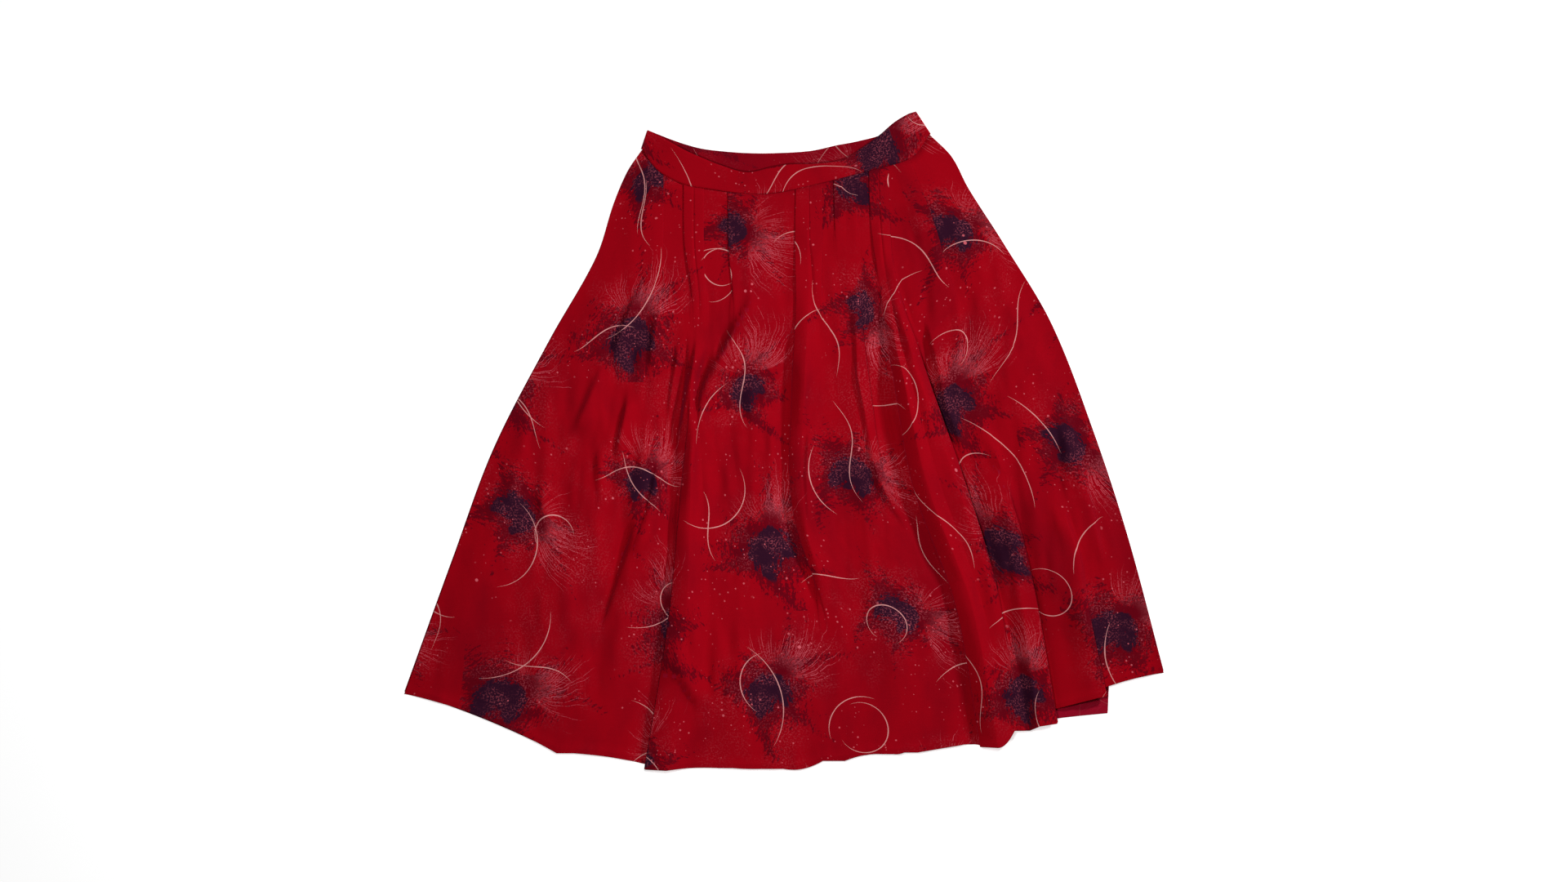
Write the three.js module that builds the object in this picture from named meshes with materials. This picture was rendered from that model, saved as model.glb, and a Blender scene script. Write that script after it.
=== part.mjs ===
// A pleated midi skirt, laid flat with its front up.
// Units are millimetres: +X to the right, +Y towards the waist, +Z up from the surface.
import * as THREE from 'three';

// Cloth and seams
const clothWall = 1.0;
const bandWall = 1.8;
const seamGap = 0.3;
const seamChord = 12;

// Heights of the layers above the surface, measured to the middle of the wall
const backHeight = clothWall / 2;
const frontHeight = clothWall * 1.5 + seamGap;
const bandBackHeight = bandWall / 2;
const bandFrontHeight = bandWall * 1.5 + 0.4;
const waistLift = 3.4;
const bodyFullness = 2.2;

// A pleat is three layers; the pitch between them grows from the pressed waist to the loose hem.
const pressedPitch = 1.7;
const loosePitch = 2.2;
const pitchGrowsOver = 0.3;
const firmDepth = 8;
const liftLead = 0.05;
const turnInset = 0.9;
const narrowest = 2;
const pleatColumns = 8;
const settleLength = 32;

// Heights on a panel run from 0 at the waist seam to 1 at the hem.
const levels = [0, 0.1, 0.2, 0.35, 0.55, 0.75, 1];

// Side edges of both panels, which swell out just under the waistband
const leftSide = {
  levels: [0, 0.04, 0.1, 0.2, 0.35, 0.55, 0.75, 1],
  across: [-182, -201, -219, -242, -301, -373, -425, -488],
};
const rightSide = {
  levels: [0, 0.04, 0.1, 0.2, 0.35, 0.55, 0.75, 1],
  across: [187, 215, 237, 281, 343, 397, 442, 488],
};

// Front pleats. over: which side lies on top. across: the edge at each level.
// depth: how far the hidden cloth reaches back. roll: the soft swelling behind the edge.
const frontPleats = [
  { name: 'left outer', over: 'left', roll: 0,
    across: [-155, -155, -155, -161, -174, -229, -281], depth: [11, 8, 0, 0, 0, 0, 0] },
  { name: 'left long', over: 'right', roll: 3,
    across: [-129, -128, -119, -122, -140, -154, -179], depth: [9, 8, 0, 0, 14, 22, 30] },
  { name: 'left inner', over: 'left', roll: 0,
    across: [-103, -103, -99, -102, -92, -83, -75], depth: [9, 8, 0, 0, 0, 0, 0] },
  { name: 'left of middle', over: 'right', roll: 0,
    across: [-72, -71, -67, -71, -50, -31, -15], depth: [14, 9, 0, 0, 0, 0, 0] },
  { name: 'middle', over: 'right', roll: 3,
    across: [15, 14, 15, 13, 15, 49, 66], depth: [14, 14, 14, 14, 12, 0, 0] },
  { name: 'right of middle', over: 'left', roll: 0,
    across: [49, 49, 50, 61, 85, 108, 132], depth: [14, 12, 0, 0, 0, 0, 0] },
  { name: 'short tuck', over: 'right', roll: 0,
    across: [64, 65, 72, 85, 110, 135, 163], depth: [10, 0, 0, 0, 0, 0, 0] },
  { name: 'valley left', over: 'left', roll: 2,
    across: [95, 95, 98, 110, 160, 211, 239], depth: [10, 0, 0, 12, 0, 0, 0] },
  { name: 'tube left', over: 'right', roll: 4,
    across: [109, 112, 121, 140, 171, 223, 251], depth: [9, 8, 0, 10, 16, 20, 20] },
  { name: 'tube right', over: 'left', roll: 3,
    across: [134, 136, 145, 174, 235, 282, 306], depth: [9, 8, 0, 10, 10, 0, 0] },
  { name: 'right outer', over: 'left', roll: 3,
    across: [161, 187, 213, 248, 286, 320, 351], depth: [12, 12, 2, 0, 0, 16, 22] },
  { name: 'side tuck', over: 'left', roll: 0,
    across: [172, 208, 244, 288, 340, 378, 414], depth: [0, 0, 0, 0, 0, 0, 10] },
];

// Hem heights of the front, a row for each stretch between pleats, with its inner columns
const frontStretches = [
  { columns: 6, left: -325, middle: -354, right: -401 },
  { columns: 2, left: -401, middle: -406, right: -415 },
  { columns: 3, left: -423, middle: -420, right: -420 },
  { columns: 1, left: -420, middle: -421, right: -421 },
  { columns: 3, left: -421, middle: -421, right: -411 },
  { columns: 2, left: -411, middle: -404, right: -402 },
  { columns: 1, left: -402, middle: -402, right: -400 },
  { columns: 1, left: -400, middle: -395, right: -390 },
  { columns: 1, left: -390, middle: -390, right: -391 },
  { columns: 3, left: -393, middle: -388, right: -372 },
  { columns: 2, left: -372, middle: -369, right: -366 },
  { columns: 3, left: -344, middle: -337, right: -330 },
  { columns: 2, left: -316, middle: -305, right: -298 },
];

// Waist seam of the front, from the left corner to the right one
const frontSeam = {
  across: [-182, -170, -157, -128, -94, -44, -8, 40, 110, 154, 171, 187],
  height: [375, 356, 343, 329, 323, 317, 319, 329, 347, 359, 370, 394],
};

// Soft folds of the front that no pleat makes: a ridge from one point to another
const frontRidges = [
  { name: 'left sweep', fromX: -190, fromY: 60, toX: -330, toY: -330, height: 3, width: 34 },
  { name: 'left inner sweep', fromX: -170, fromY: 0, toX: -215, toY: -300, height: 4, width: 24 },
  { name: 'hip crease', fromX: -190, fromY: 175, toX: -225, toY: 90, height: 3, width: 20 },
  { name: 'belly crease', fromX: -60, fromY: 160, toX: -100, toY: 40, height: 3, width: 22 },
  { name: 'middle sweep', fromX: -20, fromY: 60, toX: -60, toY: -380, height: 3, width: 40 },
  { name: 'right of middle sweep', fromX: 90, fromY: 40, toX: 150, toY: -330, height: 3, width: 36 },
  { name: 'tube', fromX: 160, fromY: 60, toX: 277, toY: -392, height: 5, width: 20 },
  { name: 'right sweep', fromX: 260, fromY: 130, toX: 390, toY: -250, height: 3, width: 32 },
];

// Back pleats, hidden under the front, pressed flat
const backPleats = [
  { name: 'back left outer', over: 'right', roll: 0,
    across: [-128, -136, -150, -176, -222, -266, -310], depth: [11, 8, 0, 0, 0, 0, 0] },
  { name: 'back left inner', over: 'right', roll: 0,
    across: [-78, -84, -94, -110, -140, -168, -196], depth: [11, 8, 0, 0, 0, 0, 0] },
  { name: 'back left of middle', over: 'right', roll: 0,
    across: [-28, -30, -34, -40, -52, -64, -74], depth: [11, 8, 0, 0, 0, 0, 0] },
  { name: 'back right of middle', over: 'left', roll: 0,
    across: [28, 31, 36, 44, 58, 70, 80], depth: [11, 8, 0, 0, 0, 0, 0] },
  { name: 'back right inner', over: 'left', roll: 0,
    across: [78, 86, 100, 122, 152, 182, 208], depth: [11, 8, 0, 0, 0, 0, 0] },
  { name: 'back right outer', over: 'left', roll: 0,
    across: [128, 142, 166, 198, 244, 284, 322], depth: [11, 8, 0, 0, 0, 0, 0] },
  { name: 'back side tuck', over: 'left', roll: 0,
    across: [172, 208, 244, 288, 342, 381, 417], depth: [0, 0, 0, 0, 0, 0, 0] },
];

const backStretches = [
  { columns: 4, left: -322, middle: -350, right: -386 },
  { columns: 2, left: -386, middle: -395, right: -402 },
  { columns: 2, left: -402, middle: -406, right: -408 },
  { columns: 3, left: -408, middle: -409, right: -406 },
  { columns: 2, left: -406, middle: -398, right: -390 },
  { columns: 2, left: -390, middle: -376, right: -359 },
  { columns: 3, left: -359, middle: -354, right: -350 },
  { columns: 2, left: -310, middle: -300, right: -295 },
];

// Waist seam of the back, which lies higher than the front's
const backSeam = {
  across: [-182, -150, -110, -60, 0, 60, 110, 150, 187],
  height: [375, 356, 344, 338, 337, 342, 352, 366, 394],
};

// Top edges of the waistband, from the left corner to the right one
const bandFrontTop = {
  across: [-174, -151, -128, -106, -84, -48, -17, 6, 40, 74, 101, 124, 141, 159, 168],
  height: [399, 387, 374, 364, 355, 345, 351, 355, 356, 361, 377, 394, 409, 420, 423],
};
const bandBackTop = {
  across: [-174, -138, -107, -75, -44, -12, 35, 67, 98, 130, 168],
  height: [399, 385, 376, 372, 370, 370, 373, 380, 386, 396, 423],
};
const bandColumns = 64;
const bandRows = 3;
const turnColumns = 3;

// Rows of the two panels, closer together where the pleats open
const frontRows = [0, 0.04, 0.08, 0.12, 0.16, 0.2, 0.25, 0.3, 0.35, 0.4, 0.45, 0.5,
  0.55, 0.6, 0.65, 0.7, 0.75, 0.8, 0.85, 0.9, 0.94, 0.975, 1];
const backRows = [0, 0.04, 0.08, 0.12, 0.16, 0.2, 0.3, 0.45, 0.6, 0.75, 0.9, 1];

const mix = (a, b, share) => a + (b - a) * share;
const limit = (value) => Math.min(Math.max(value, 0), 1);
const ease = (value) => limit(value) ** 2 * (3 - 2 * limit(value));

// The straight-line value at a place between listed places.
function between(places, values, at) {
  const last = places.length - 2;
  let i = 0;
  while (i < last && at > places[i + 1]) i += 1;
  return mix(values[i], values[i + 1], limit((at - places[i]) / (places[i + 1] - places[i])));
}

// The same on a smooth curve: each stretch is a cubic with its neighbours' slopes at its ends.
function smoothly(places, values, at) {
  const last = places.length - 2;
  let i = 0;
  while (i < last && at > places[i + 1]) i += 1;
  const slope = (k) => {
    const before = Math.max(k - 1, 0);
    const after = Math.min(k + 1, places.length - 1);
    return (values[after] - values[before]) / (places[after] - places[before]);
  };
  const span = places[i + 1] - places[i];
  const t = limit((at - places[i]) / span);
  const rise = values[i + 1] - values[i];
  const startSlope = slope(i) * span;
  const endSlope = slope(i + 1) * span;
  const bend = 3 * rise - 2 * startSlope - endSlope;
  const turn = startSlope + endSlope - 2 * rise;
  return values[i] + startSlope * t + bend * t * t + turn * t * t * t;
}

// A hem row's height at a share of its stretch: the parabola through its three heights.
function hemHeight(stretch, share) {
  const { left, middle, right } = stretch;
  const leftPart = left * (1 - share) * (1 - 2 * share);
  const middlePart = middle * 4 * share * (1 - share);
  return leftPart + middlePart + right * share * (2 * share - 1);
}

// How firmly a pleat is folded at a level, and how far it is lifted there.
function foldAt(pleat, level) {
  const closedAt = (at) => limit(between(levels, pleat.depth, at) / firmDepth);
  const closed = closedAt(level);
  const lift = Math.max(closed, closedAt(limit(level - liftLead)), closedAt(limit(level + liftLead)));
  return { closed, lift, depth: Math.max(between(levels, pleat.depth, level), firmDepth) };
}

// The eight points across a pleat whose right side lies on top, from left to right along the cloth:
// its start, the hidden turn, the turn at the edge, and a point past the hidden turn.
// As it closes the hidden turn slides right under the other one, and both turns tighten.
function pleatShape(depth, openWidth, closed) {
  const hidden = mix(-openWidth / 6, depth, closed);
  const edge = mix(openWidth / 6, 0, closed);
  const inset = Math.min(turnInset, openWidth / 9);
  const tightened = mix(inset, -inset, limit((hidden - edge) / (2 * inset)));
  return [
    { along: mix(-openWidth / 2, 0, closed), layer: 0 },
    { along: hidden - inset, layer: 0.1 },
    { along: hidden, layer: 0.5 },
    { along: hidden + tightened, layer: 0.9 },
    { along: edge - tightened, layer: 1.1 },
    { along: edge, layer: 1.5 },
    { along: edge + inset, layer: 1.9 },
    { along: mix(openWidth / 2, depth + 2 * inset, closed), layer: 2 },
  ];
}

// A pleat's points at a level. Where it is open they spread over the room beside it.
// span holds the two ends of the pleat, between which all its layers follow one straight slope.
function pleatPoints(pleat, level, room) {
  const edge = smoothly(levels, pleat.across, level);
  const { closed, lift, depth } = foldAt(pleat, level);
  const mirrored = pleat.over === 'left';
  const direction = mirrored ? -1 : 1;
  const openWidth = Math.max(Math.min(0.55 * room, 2 * Math.max(...pleat.depth)), narrowest);
  const points = pleatShape(depth, openWidth, closed).map((point) => (
    { x: edge + direction * point.along, layer: point.layer * lift }
  ));
  const places = points.map((point) => point.x);
  const span = { from: Math.min(...places), to: Math.max(...places) };
  points.forEach((point) => { point.span = span; });
  return mirrored ? points.reverse() : points;
}

// The swelling behind a pleat's edge: nothing at the edge, its crest a little way in, then a long fall.
function rollHeight(pleat, level, x) {
  const crest = 20;
  const direction = pleat.over === 'left' ? -1 : 1;
  const inward = (x - smoothly(levels, pleat.across, level)) * direction;
  if (pleat.roll === 0 || inward <= 0) return 0;
  const reach = inward / crest;
  return pleat.roll * foldAt(pleat, level).lift * reach * Math.exp(1 - reach);
}

// A ridge's height at a point: highest along its line, falling away on both sides and past its ends.
function ridgeHeight(ridge, x, y) {
  const alongX = ridge.toX - ridge.fromX;
  const alongY = ridge.toY - ridge.fromY;
  const reach = Math.hypot(alongX, alongY);
  const share = ((x - ridge.fromX) * alongX + (y - ridge.fromY) * alongY) / reach ** 2;
  const near = limit(share);
  const away = Math.hypot(x - ridge.fromX - near * alongX, y - ridge.fromY - near * alongY);
  return ridge.height * Math.exp(-((away / ridge.width) ** 2));
}

// The height of a section end falls from the pleat's top layer to the plain cloth.
function settled(endLayer, away, room) {
  return endLayer * (1 - ease(away / Math.min(settleLength, room)));
}

// One row of a panel: its points from the left edge to the right one.
function panelRow(panel, level) {
  const { pleats, stretches } = panel;
  const leftEdge = smoothly(leftSide.levels, leftSide.across, level);
  const rightEdge = smoothly(rightSide.levels, rightSide.across, level);
  const edges = [leftEdge, ...pleats.map((p) => smoothly(levels, p.across, level)), rightEdge];
  const folded = pleats.map((pleat, k) => {
    const room = Math.min(edges[k + 1] - edges[k], edges[k + 2] - edges[k + 1]);
    return pleatPoints(pleat, level, room);
  });
  const row = [];
  stretches.forEach((stretch, k) => {
    const before = k === 0 ? { x: leftEdge, layer: 0 } : folded[k - 1].at(-1);
    const after = k === pleats.length ? { x: rightEdge, layer: 0 } : folded[k][0];
    const width = after.x - before.x;
    const first = k === 0 ? 0 : 1;
    const last = k === pleats.length ? stretch.columns + 1 : stretch.columns;
    for (let c = first; c <= last; c += 1) {
      const share = c / (stretch.columns + 1);
      const fromLeft = settled(before.layer, share * width, width);
      const fromRight = settled(after.layer, (1 - share) * width, width);
      row.push({ x: before.x + share * width, layer: Math.max(fromLeft, fromRight),
        hem: hemHeight(stretch, share) });
    }
    if (k === pleats.length) return;
    const next = stretches[k + 1];
    folded[k].forEach((point, c) => {
      row.push({ ...point, hem: mix(stretch.right, next.left, c / (pleatColumns - 1)) });
    });
  });
  return row;
}

// A panel's top edge: the band's own straight chords, moved off the band by the seam gap.
// Where the seam is hollow it drops as far as a chord of the panel would cut into the hollow.
function seamLine(seam, x) {
  const shares = Array.from({ length: bandColumns + 1 }, (_, c) => c / bandColumns);
  const across = shares.map((share) => mix(seam.across[0], seam.across.at(-1), share));
  const height = across.map((place) => smoothly(seam.across, seam.height, place));
  const here = between(across, height, x);
  const before = between(across, height, x - seamChord / 2);
  const after = between(across, height, x + seamChord / 2);
  const hollow = Math.max((before + after) / 2 - here, 0);
  return here - seamGap * Math.hypot(1, (after - before) / seamChord) - hollow;
}

// A panel's whole grid of points in the middle of its wall.
function panelGrid(panel) {
  const top = panelRow(panel, 0);
  return panel.rows.map((level) => panelRow(panel, level).map((point, c) => {
    const y = mix(seamLine(panel.seam, top[c].x), point.hem, level);
    const pitch = mix(pressedPitch, loosePitch, ease(level / pitchGrowsOver));
    const { from, to } = point.span ?? { from: point.x, to: point.x + 1 };
    const slope = (point.x - from) / (to - from);
    const rise = mix(panel.relief(from, y, level), panel.relief(to, y, level), slope);
    return new THREE.Vector3(point.x, y, panel.height + rise + point.layer * pitch);
  }));
}

// The front swells over the back's pleats and its own soft folds, and comes down at its side edges.
function frontRelief(x, y, level) {
  const leftEdge = smoothly(leftSide.levels, leftSide.across, level);
  const rightEdge = smoothly(rightSide.levels, rightSide.across, level);
  const inside = ease(Math.min(x - leftEdge, rightEdge - x) / 40);
  const overPleats = waistLift * (1 - ease((level - 0.22) / 0.2));
  const fullness = bodyFullness * ease(level / 0.4) * (1 - 0.7 * ease((level - 0.7) / 0.3));
  const rolls = frontPleats.reduce((sum, pleat) => sum + rollHeight(pleat, level, x), 0);
  const ridges = frontRidges.reduce((sum, ridge) => sum + ridgeHeight(ridge, x, y), 0);
  return inside * (overPleats + fullness + (rolls + ridges) * ease(level / 0.15));
}

// A closed wall around a grid of middle points. A grid that closes on itself joins its last column to its first.
// topLine, where it is given, keeps both faces of the top row on one seam line.
function wallGeometry(grid, wall, closesRound, topLine) {
  const rows = grid.length;
  const columns = grid[0].length;
  const at = (r, c) => {
    const row = Math.min(Math.max(r, 0), rows - 1);
    const column = closesRound ? (c + columns) % columns : Math.min(Math.max(c, 0), columns - 1);
    return grid[row][column];
  };
  const positions = [];
  [1, -1].forEach((side) => grid.forEach((row, r) => row.forEach((point, c) => {
    const across = at(r, c + 1).clone().sub(at(r, c - 1));
    const down = at(r + 1, c).clone().sub(at(r - 1, c));
    const outward = down.cross(across).normalize();
    const corner = point.clone().addScaledVector(outward, side * wall / 2);
    if (topLine && r === 0) corner.y = topLine(corner.x);
    positions.push(...corner.toArray());
  })));
  const index = [];
  const inner = rows * columns;
  const face = (a, b, c, d) => index.push(a, b, c, a, c, d);
  const steps = closesRound ? columns : columns - 1;
  for (let c = 0; c < steps; c += 1) {
    const next = (c + 1) % columns;
    for (let r = 0; r < rows - 1; r += 1) {
      const corners = [r * columns + c, (r + 1) * columns + c, (r + 1) * columns + next, r * columns + next];
      face(...corners);
      face(...corners.map((corner) => corner + inner).reverse());
    }
    const bottom = (rows - 1) * columns;
    face(c, next, inner + next, inner + c);
    face(bottom + next, bottom + c, inner + bottom + c, inner + bottom + next);
  }
  for (let r = 0; r < rows - 1 && !closesRound; r += 1) {
    const above = r * columns;
    const below = above + columns;
    face(below, above, inner + above, inner + below);
    const right = columns - 1;
    face(above + right, below + right, inner + below + right, inner + above + right);
  }
  const geometry = new THREE.BufferGeometry();
  geometry.setAttribute('position', new THREE.Float32BufferAttribute(positions, 3));
  geometry.setIndex(index);
  return geometry;
}

function panelGeometry(panel) {
  return wallGeometry(panelGrid(panel), clothWall, false, (x) => seamLine(panel.seam, x));
}

// The waistband: a flattened ring, back run first, then the turn at the right, the front run and the left turn.
function waistbandGrid() {
  const runPoint = (topEdge, seam, share, drop, height) => {
    const topX = mix(topEdge.across[0], topEdge.across.at(-1), share);
    const seamX = mix(seam.across[0], seam.across.at(-1), share);
    const top = smoothly(topEdge.across, topEdge.height, topX);
    const bottom = smoothly(seam.across, seam.height, seamX);
    return new THREE.Vector3(mix(topX, seamX, drop), mix(top, bottom, drop), height);
  };
  const grid = [];
  for (let r = 0; r < bandRows; r += 1) {
    const drop = r / (bandRows - 1);
    const row = [];
    for (let c = 0; c <= bandColumns; c += 1) {
      row.push(runPoint(bandBackTop, backSeam, c / bandColumns, drop, bandBackHeight));
    }
    row.push(...turnPoints(row.at(-1), 1));
    for (let c = bandColumns; c >= 0; c -= 1) {
      const share = c / bandColumns;
      const lift = waistLift * ease(Math.min(share, 1 - share) / 0.15);
      row.push(runPoint(bandFrontTop, frontSeam, share, drop, bandFrontHeight + lift));
    }
    row.push(...turnPoints(row[0], -1).reverse());
    grid.push(row);
  }
  return grid;
}

// The half-round turn of the band at a side, from its back run up to its front run.
function turnPoints(start, direction) {
  const radius = (bandFrontHeight - bandBackHeight) / 2;
  const points = [];
  for (let k = 1; k <= turnColumns; k += 1) {
    const angle = Math.PI * k / (turnColumns + 1);
    const out = direction * radius * Math.sin(angle);
    points.push(new THREE.Vector3(start.x + out, start.y, start.z + radius * (1 - Math.cos(angle))));
  }
  return points;
}

function clothMesh(name, geometry, colour) {
  const material = new THREE.MeshStandardMaterial({ color: colour, roughness: 0.82, metalness: 0 });
  material.name = name;
  const mesh = new THREE.Mesh(geometry, material);
  mesh.name = name;
  return mesh;
}

const frontPanel = {
  pleats: frontPleats, stretches: frontStretches, seam: frontSeam, rows: frontRows,
  height: frontHeight, relief: frontRelief,
};
const backPanel = {
  pleats: backPleats, stretches: backStretches, seam: backSeam, rows: backRows,
  height: backHeight, relief: () => 0,
};

const skirt = new THREE.Group();
skirt.name = 'pleated_skirt';
skirt.add(clothMesh('waistband', wallGeometry(waistbandGrid(), bandWall, true), 0x94121f));
skirt.add(clothMesh('front_panel', panelGeometry(frontPanel), 0x8b0a1a));
skirt.add(clothMesh('back_panel', panelGeometry(backPanel), 0x860f26));

// The origin is the middle of the skirt's box, on the surface it lies on.
const box = new THREE.Box3().setFromObject(skirt);
const middle = box.getCenter(new THREE.Vector3());
skirt.position.set(-middle.x, -middle.y, -box.min.z);

export default skirt;
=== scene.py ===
import bpy
import numpy as np
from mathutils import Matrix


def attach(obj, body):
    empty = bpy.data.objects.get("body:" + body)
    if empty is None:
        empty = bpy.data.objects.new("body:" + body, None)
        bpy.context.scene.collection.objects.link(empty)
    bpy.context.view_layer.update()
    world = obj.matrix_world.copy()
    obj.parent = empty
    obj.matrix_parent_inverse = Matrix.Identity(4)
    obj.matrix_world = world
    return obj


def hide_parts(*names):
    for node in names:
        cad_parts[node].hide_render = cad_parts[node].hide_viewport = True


# A pleated midi skirt laid flat with its front up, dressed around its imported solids.
# The cloth is worked out in millimetres and put into its meshes in metres.
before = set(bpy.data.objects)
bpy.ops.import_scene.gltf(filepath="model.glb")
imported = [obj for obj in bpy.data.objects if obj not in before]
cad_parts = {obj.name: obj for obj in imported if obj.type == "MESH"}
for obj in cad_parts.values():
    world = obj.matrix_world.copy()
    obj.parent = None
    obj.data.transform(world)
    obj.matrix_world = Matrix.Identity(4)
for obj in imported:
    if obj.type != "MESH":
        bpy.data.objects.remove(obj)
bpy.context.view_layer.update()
mm = 0.001
print("frame loaded")

camera = {
    "lens": 85.0,
    "sensor": 36.0,
    "across": 2.016,  # width of floor that it sees, in metres
    "farthest": 50,
}


def addObject(name, data):
    # New data goes into the scene at the origin
    thing = bpy.data.objects.new(name, data)
    bpy.context.scene.collection.objects.link(thing)
    return thing


def placeCamera():
    # Straight above the middle of the skirt, as far off as shows the wanted width of floor
    data = bpy.data.cameras.new("camera")
    data.lens = camera["lens"]
    data.sensor_width = camera["sensor"]
    data.clip_end = camera["farthest"]
    eye = addObject("camera", data)
    eye.location = (0, 0, camera["across"] * camera["lens"] / camera["sensor"])
    bpy.context.scene.camera = eye


placeCamera()
print("camera placed")


def limit(value):
    return np.clip(value, 0, 1)


def ease(value, start=0, length=1):
    # With t the share of the length behind the start: 3 t squared less 2 t cubed, level at both ends
    share = limit((value - start) / length)
    return share**2 * (3 - 2 * share)


def mix(a, b, share):
    return a + (b - a) * share


def smoothly(places, values, at):
    # Between two listed places: the cubic that has its neighbours' slopes at its ends
    places = np.asarray(places, float)
    values = np.asarray(values, float)
    slopes = np.empty_like(values)
    slopes[1:-1] = (values[2:] - values[:-2]) / (places[2:] - places[:-2])
    slopes[0] = (values[1] - values[0]) / (places[1] - places[0])
    slopes[-1] = (values[-1] - values[-2]) / (places[-1] - places[-2])
    k = np.clip(np.searchsorted(places, at, side="right") - 1, 0, len(places) - 2)
    span = places[k + 1] - places[k]
    t = limit((at - places[k]) / span)
    rise = values[k + 1] - values[k]
    start, end = slopes[k] * span, slopes[k + 1] * span
    return values[k] + start * t + (3 * rise - 2 * start - end) * t**2 + (start + end - 2 * rise) * t**3


def edgeHeight(edge, x):
    # The height of a listed edge or seam at x
    return smoothly(edge["across"], edge["height"], x)


def softNoise(x, y, seed):
    # Random heights on a grid of whole numbers that repeats, joined by eased weights, from -1 to 1
    cells = 64
    heights = np.random.default_rng(seed).uniform(-1, 1, (cells, cells))
    column, row = np.floor(x).astype(int), np.floor(y).astype(int)
    a, b = ease(x - column), ease(y - row)

    def at(i, j):
        return heights[(row + j) % cells, (column + i) % cells]

    return mix(mix(at(0, 0), at(1, 0), a), mix(at(0, 1), at(1, 1), a), b)


def noiseSum(layers, x, y):
    # Each layer: its height, the size of its cells across and down, where it starts, and its seed
    return sum(height * softNoise(x / across + fromX, y / down + fromY, seed)
               for height, across, down, fromX, fromY, seed in layers)


# What both panels share. Levels run from 0 at the waist seam to 1 at the hem.
skirtCut = {
    "levels": [0, 0.1, 0.2, 0.35, 0.55, 0.75, 1],
    "sideLevels": [0, 0.04, 0.1, 0.2, 0.35, 0.55, 0.75, 1],
    "leftSide": [-182, -201, -219, -242, -301, -373, -425, -488],
    "rightSide": [187, 215, 237, 281, 343, 397, 442, 488],
    "length": 740,  # about, down the middle
    "wall": 0.5,
    "seamGap": 0.1,
    "hemWidth": 9,
    "hemThickness": 1.1,
    "hemStep": 1.2,  # over which the turned hem thickens
    "hemRows": [0.9, 0.6, 0.3, 0.1, 0],  # rows of points across the turned hem, as shares of its width
    "pressedPitch": 0.75,  # from one layer of a pleat to the next, at the waist
    "loosePitch": 2.2,  # and further down
    "loosened": 0.4,  # the level from which pleats are loose
    "firmDepth": 8,  # a pleat that hides less cloth than this is partly open
    "liftBefore": 0.05,  # how far ahead of a closed stretch its layers rise
    "openShare": 0.55,  # of the room beside it, what an open pleat's cloth may take
    "leastOpen": 2,
    "turnInset": 0.9,
    "turnPoints": 5,
    "turnHeight": 0.4,  # of a turn's round, in layers
    "diveShare": 0.5,  # of a dive, what the pleat's own layers make up
    "diveStart": (0.08, 0.25),
    "diveReach": (5, 20),  # how far before the edge it sinks, close by and over a wider stretch
    "settleLength": 32,  # over which the cloth beside a pleat comes down to plain
}


def pleatColumns(pleat, t, edge, room):
    # A bottom layer, a half-round hidden turn, a middle layer, a half-round turn at the edge, and a top
    # layer. Where the pleat opens, both turns unroll into slopes, a third of the open width apart, and its
    # cloth spreads over the room beside it.
    cut = skirtCut

    def depthAt(level):
        return np.interp(level, cut["levels"], pleat["depth"])

    def closedAt(level):
        return limit(depthAt(level) / cut["firmDepth"])

    closed = closedAt(t)
    ahead = cut["liftBefore"]
    lift = np.maximum(closed, np.maximum(closedAt(t - ahead), closedAt(t + ahead)))
    depth = np.maximum(depthAt(t), cut["firmDepth"])
    openWidth = np.maximum(np.minimum(cut["openShare"] * room, 2 * max(pleat["depth"])), cut["leastOpen"])
    inset = np.minimum(cut["turnInset"], openWidth / 9)
    hidden = mix(-openWidth / 6, depth, closed)
    fold = mix(openWidth / 6, 0, closed)
    rolled = limit((hidden - fold) / (2 * inset))
    angle = np.linspace(0, np.pi, cut["turnPoints"])[None, :]
    slope = (1 - rolled) * -inset * np.cos(angle)
    hiddenTurn = hidden + slope + rolled * inset * (np.sin(angle) - 1)
    edgeTurn = fold + slope + rolled * inset * (1 - np.sin(angle))
    start = mix(-openWidth / 2, 0, closed)
    end = mix(openWidth / 2, depth + 2 * inset, closed)
    along = np.hstack([
        start, mix(start, hiddenTurn[:, :1], 0.5), hiddenTurn,
        mix(hiddenTurn[:, -1:], edgeTurn[:, :1], 0.5), edgeTurn, mix(edgeTurn[:, -1:], end, 0.5), end,
    ])
    turnRise = cut["turnHeight"] * np.cos(angle[0])
    layer = np.hstack([[0, 0.05], 0.5 - turnRise, [1], 1.5 - turnRise, [1.95, 2]])[None, :] * lift
    dive = cut["diveShare"] * pleat.get("dive", 0) * closed * ease(t, *cut["diveStart"])
    layer = layer * (1 + dive / cut["loosePitch"])
    if pleat["over"] == "left":
        return edge - along[:, ::-1], layer[:, ::-1], closed
    return edge + along, layer, closed


def parabola(heights, share):
    # Through the left height at 0, the middle one at a half and the right one at 1
    left, middle, right = heights
    ends = left * (1 - share) * (1 - 2 * share) + right * share * (2 * share - 1)
    return ends + middle * 4 * share * (1 - share)


def settled(endLayer, away, room):
    # From the pleat's last layer down to the plain cloth
    return endLayer * (1 - ease(away / np.minimum(skirtCut["settleLength"], room)))


def sideEdges(t):
    # Where the left and right sides of the skirt are at each level
    cut = skirtCut
    return [smoothly(cut["sideLevels"], cut[side], t) for side in ("leftSide", "rightSide")]


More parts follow.
